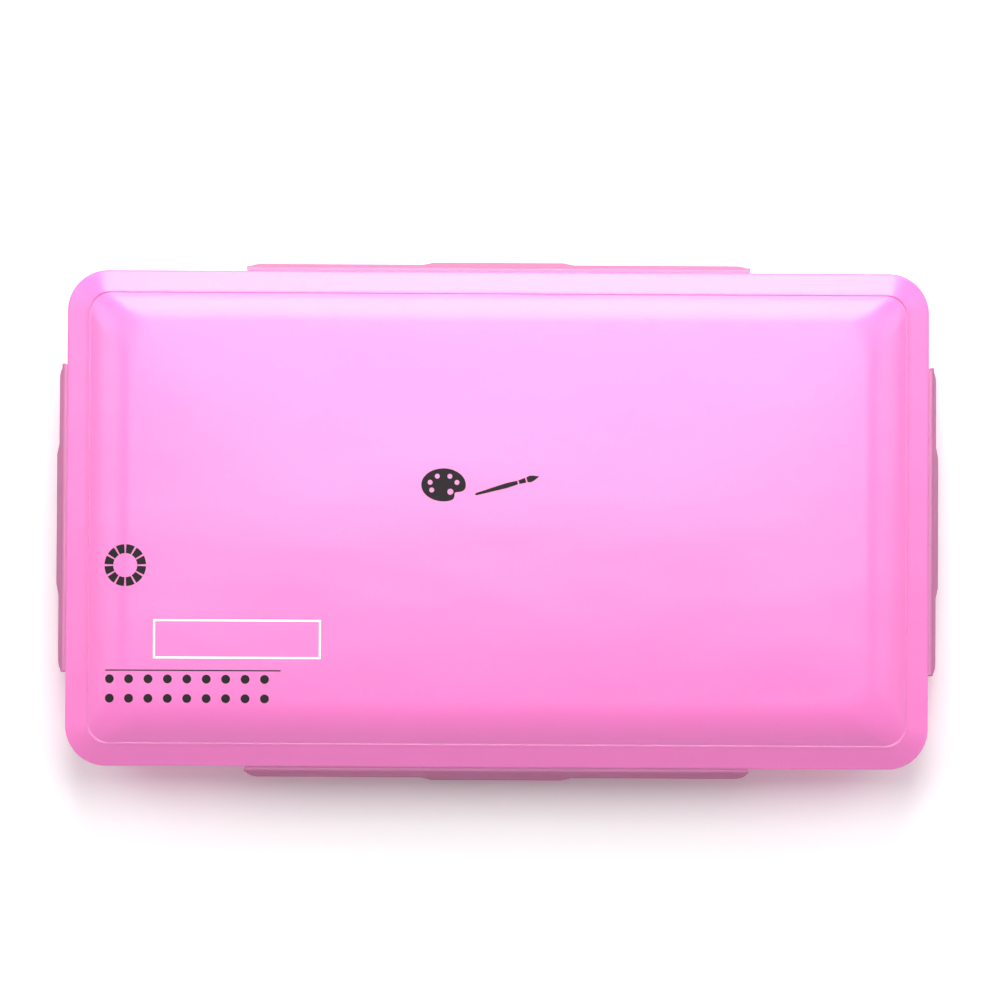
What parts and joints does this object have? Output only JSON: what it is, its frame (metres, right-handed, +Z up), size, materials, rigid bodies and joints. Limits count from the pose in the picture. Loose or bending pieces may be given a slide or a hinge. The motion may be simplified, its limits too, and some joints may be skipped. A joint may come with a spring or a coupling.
{
  "type": "gouache paint set box",
  "caption": "Flat rounded paint box with a domed lid that seals on a gasket, a hinged snap clip on each side, and a tray of sealed gouache cups.",
  "frame": {"origin": "middle of the underside, on the plane that the foot ring stands on", "axes": "+X along the long side to the right, +Y to the back, +Z up through the lid"},
  "size_m": [0.3398, 0.1998, 0.0451],
  "materials": {
    "lid_plastic": "satin moulded polypropylene, slightly translucent",
    "tray_plastic": "satin moulded polypropylene",
    "clip_plastic": "thin translucent moulded polypropylene",
    "gasket_rubber": "translucent silicone rubber",
    "cup_plastic": "clear moulded polypropylene with a clear film seal",
    "gouache_titanium_white": "wet gouache",
    "gouache_cream": "wet gouache",
    "gouache_lemon_yellow": "wet gouache",
    "gouache_warm_yellow": "wet gouache",
    "gouache_orange": "wet gouache",
    "gouache_vermilion": "wet gouache",
    "gouache_rose": "wet gouache",
    "gouache_mauve": "wet gouache",
    "gouache_violet": "wet gouache",
    "gouache_deep_blue": "wet gouache",
    "gouache_ultramarine": "wet gouache",
    "gouache_sky_blue": "wet gouache",
    "gouache_turquoise": "wet gouache",
    "gouache_deep_green": "wet gouache",
    "gouache_grass_green": "wet gouache",
    "gouache_ochre": "wet gouache",
    "gouache_brown": "wet gouache",
    "gouache_black": "wet gouache"
  },
  "bodies": {
    "base": {"base_tray": "tray_plastic"},
    "lid": {"lid": "lid_plastic", "lid_gasket": "gasket_rubber"},
    "clip_front": {"clip_front": "clip_plastic"},
    "clip_back": {"clip_back": "clip_plastic"},
    "clip_left": {"clip_left": "clip_plastic"},
    "clip_right": {"clip_right": "clip_plastic"},
    "cup_01": {"cup_01": "cup_plastic", "paint_01": "gouache_titanium_white"},
    "cup_02": {"cup_02": "cup_plastic", "paint_02": "gouache_cream"},
    "cup_03": {"cup_03": "cup_plastic", "paint_03": "gouache_lemon_yellow"},
    "cup_04": {"cup_04": "cup_plastic", "paint_04": "gouache_warm_yellow"},
    "cup_05": {"cup_05": "cup_plastic", "paint_05": "gouache_orange"},
    "cup_06": {"cup_06": "cup_plastic", "paint_06": "gouache_vermilion"},
    "cup_07": {"cup_07": "cup_plastic", "paint_07": "gouache_rose"},
    "cup_08": {"cup_08": "cup_plastic", "paint_08": "gouache_mauve"},
    "cup_09": {"cup_09": "cup_plastic", "paint_09": "gouache_violet"},
    "cup_10": {"cup_10": "cup_plastic", "paint_10": "gouache_deep_blue"},
    "cup_11": {"cup_11": "cup_plastic", "paint_11": "gouache_ultramarine"},
    "cup_12": {"cup_12": "cup_plastic", "paint_12": "gouache_sky_blue"},
    "cup_13": {"cup_13": "cup_plastic", "paint_13": "gouache_turquoise"},
    "cup_14": {"cup_14": "cup_plastic", "paint_14": "gouache_deep_green"},
    "cup_15": {"cup_15": "cup_plastic", "paint_15": "gouache_grass_green"},
    "cup_16": {"cup_16": "cup_plastic", "paint_16": "gouache_ochre"},
    "cup_17": {"cup_17": "cup_plastic", "paint_17": "gouache_brown"},
    "cup_18": {"cup_18": "cup_plastic", "paint_18": "gouache_black"}
  },
  "joints": [
    {"name": "lid_lift", "type": "slide", "parent": "base", "child": "lid", "axis": [0, 0, 1], "range_m": [0, 0.12]},
    {"name": "clip_front_hinge", "type": "hinge", "parent": "lid", "child": "clip_front", "pos_m": [0, -0.09585, 0.0314], "axis": [-1, 0, 0], "range_deg": [0, 135]},
    {"name": "clip_back_hinge", "type": "hinge", "parent": "lid", "child": "clip_back", "pos_m": [0, 0.09585, 0.0314], "axis": [1, 0, 0], "range_deg": [0, 135]},
    {"name": "clip_left_hinge", "type": "hinge", "parent": "lid", "child": "clip_left", "pos_m": [-0.1659, 0, 0.0314], "axis": [0, 1, 0], "range_deg": [0, 135]},
    {"name": "clip_right_hinge", "type": "hinge", "parent": "lid", "child": "clip_right", "pos_m": [0.1659, 0, 0.0314], "axis": [0, -1, 0], "range_deg": [0, 135]},
    {"name": "cup_01_lift", "type": "slide", "parent": "base", "child": "cup_01", "axis": [0, 0, 1], "range_m": [0, 0.006]},
    {"name": "cup_02_lift", "type": "slide", "parent": "base", "child": "cup_02", "axis": [0, 0, 1], "range_m": [0, 0.006]},
    {"name": "cup_03_lift", "type": "slide", "parent": "base", "child": "cup_03", "axis": [0, 0, 1], "range_m": [0, 0.006]},
    {"name": "cup_04_lift", "type": "slide", "parent": "base", "child": "cup_04", "axis": [0, 0, 1], "range_m": [0, 0.006]},
    {"name": "cup_05_lift", "type": "slide", "parent": "base", "child": "cup_05", "axis": [0, 0, 1], "range_m": [0, 0.006]},
    {"name": "cup_06_lift", "type": "slide", "parent": "base", "child": "cup_06", "axis": [0, 0, 1], "range_m": [0, 0.006]},
    {"name": "cup_07_lift", "type": "slide", "parent": "base", "child": "cup_07", "axis": [0, 0, 1], "range_m": [0, 0.006]},
    {"name": "cup_08_lift", "type": "slide", "parent": "base", "child": "cup_08", "axis": [0, 0, 1], "range_m": [0, 0.006]},
    {"name": "cup_09_lift", "type": "slide", "parent": "base", "child": "cup_09", "axis": [0, 0, 1], "range_m": [0, 0.006]},
    {"name": "cup_10_lift", "type": "slide", "parent": "base", "child": "cup_10", "axis": [0, 0, 1], "range_m": [0, 0.006]},
    {"name": "cup_11_lift", "type": "slide", "parent": "base", "child": "cup_11", "axis": [0, 0, 1], "range_m": [0, 0.006]},
    {"name": "cup_12_lift", "type": "slide", "parent": "base", "child": "cup_12", "axis": [0, 0, 1], "range_m": [0, 0.006]},
    {"name": "cup_13_lift", "type": "slide", "parent": "base", "child": "cup_13", "axis": [0, 0, 1], "range_m": [0, 0.006]},
    {"name": "cup_14_lift", "type": "slide", "parent": "base", "child": "cup_14", "axis": [0, 0, 1], "range_m": [0, 0.006]},
    {"name": "cup_15_lift", "type": "slide", "parent": "base", "child": "cup_15", "axis": [0, 0, 1], "range_m": [0, 0.006]},
    {"name": "cup_16_lift", "type": "slide", "parent": "base", "child": "cup_16", "axis": [0, 0, 1], "range_m": [0, 0.006]},
    {"name": "cup_17_lift", "type": "slide", "parent": "base", "child": "cup_17", "axis": [0, 0, 1], "range_m": [0, 0.006]},
    {"name": "cup_18_lift", "type": "slide", "parent": "base", "child": "cup_18", "axis": [0, 0, 1], "range_m": [0, 0.006]}
  ]
}
